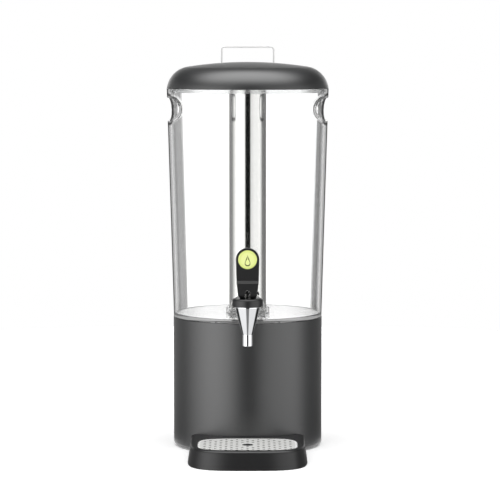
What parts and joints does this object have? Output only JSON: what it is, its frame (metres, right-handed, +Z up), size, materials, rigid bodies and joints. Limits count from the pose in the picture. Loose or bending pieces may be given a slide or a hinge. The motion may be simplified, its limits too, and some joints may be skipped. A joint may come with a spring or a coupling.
{
  "type": "juice dispenser",
  "caption": "Countertop cold drink dispenser: round dark base, clear tapered tank with steel ice tube, domed lid with strip handle, sprung lever tap and lift-out drip tray.",
  "frame": {"origin": "on the table under the centre line of the base and tank", "axes": "+Z up, -Y towards the tap and the drip tray, +X to the user's right"},
  "size_m": [0.237, 0.361, 0.5862],
  "materials": {
    "anthracite_plastic": "fine satin moulded",
    "black_plastic": "satin moulded",
    "clear_plastic": "clear polished",
    "polished_steel": "polished stainless",
    "bright_steel": "bright stainless",
    "chromed_plastic": "bright chrome",
    "white_plastic": "moulded",
    "clear_silicone": "translucent silicone",
    "black_rubber": "matt",
    "lime_plastic": "printed gloss disc"
  },
  "bodies": {
    "base": {"base_shell": "anthracite_plastic", "base_plate": "black_plastic", "base_screws": "bright_steel", "rubber_feet": "black_rubber"},
    "tray": {"drip_tray": "black_plastic"},
    "grid": {"drip_grid": "polished_steel"},
    "tank": {"tank": "clear_plastic", "tap_body": "chromed_plastic", "tap_collar": "black_plastic", "tap_nut": "white_plastic", "outer_washer": "clear_silicone", "inner_washer": "clear_silicone", "stem_seal": "clear_silicone"},
    "stem": {"tap_stem": "black_plastic", "seat_cup": "clear_silicone", "tap_spring": "bright_steel"},
    "lever": {"tap_lever": "black_plastic", "lever_pin": "bright_steel", "lever_badge": "lime_plastic"},
    "ice_tube": {"ice_tube": "polished_steel", "tube_foot": "white_plastic", "tube_seal": "clear_silicone"},
    "lid": {"lid_shell": "anthracite_plastic", "lid_seal": "clear_silicone", "lid_handle": "polished_steel", "handle_screws": "bright_steel", "handle_washers": "bright_steel"}
  },
  "joints": [
    {"name": "tray_pull", "type": "slide", "parent": "base", "child": "tray", "axis": [0, -1, 0], "range_m": [0, 0.12]},
    {"name": "grid_lift", "type": "slide", "parent": "tray", "child": "grid", "axis": [0, 0, 1], "range_m": [0, 0.05]},
    {"name": "tank_lift", "type": "slide", "parent": "base", "child": "tank", "axis": [0, 0, 1], "range_m": [0, 0.1]},
    {"name": "tube_lift", "type": "slide", "parent": "tank", "child": "ice_tube", "axis": [0, 0, 1], "range_m": [0, 0.36]},
    {"name": "lid_lift", "type": "slide", "parent": "ice_tube", "child": "lid", "axis": [0, 0, 1], "range_m": [0, 0.1]},
    {"name": "stem_lift", "type": "slide", "parent": "tank", "child": "stem", "axis": [0, 0, 1], "range_m": [0, 0.0046], "deforming": ["tap_spring"]},
    {"name": "lever_tilt", "type": "hinge", "parent": "stem", "child": "lever", "pos_m": [0, -0.152, 0.239], "axis": [1, 0, 0], "range_deg": [0, 50], "stiffness_Nm_per_rad": 0.3, "springref_deg": -5.73}
  ],
  "couplings": [
    {"joint": "stem_lift", "follows": "lever_tilt", "m_per_rad": 0.0051566}
  ]
}
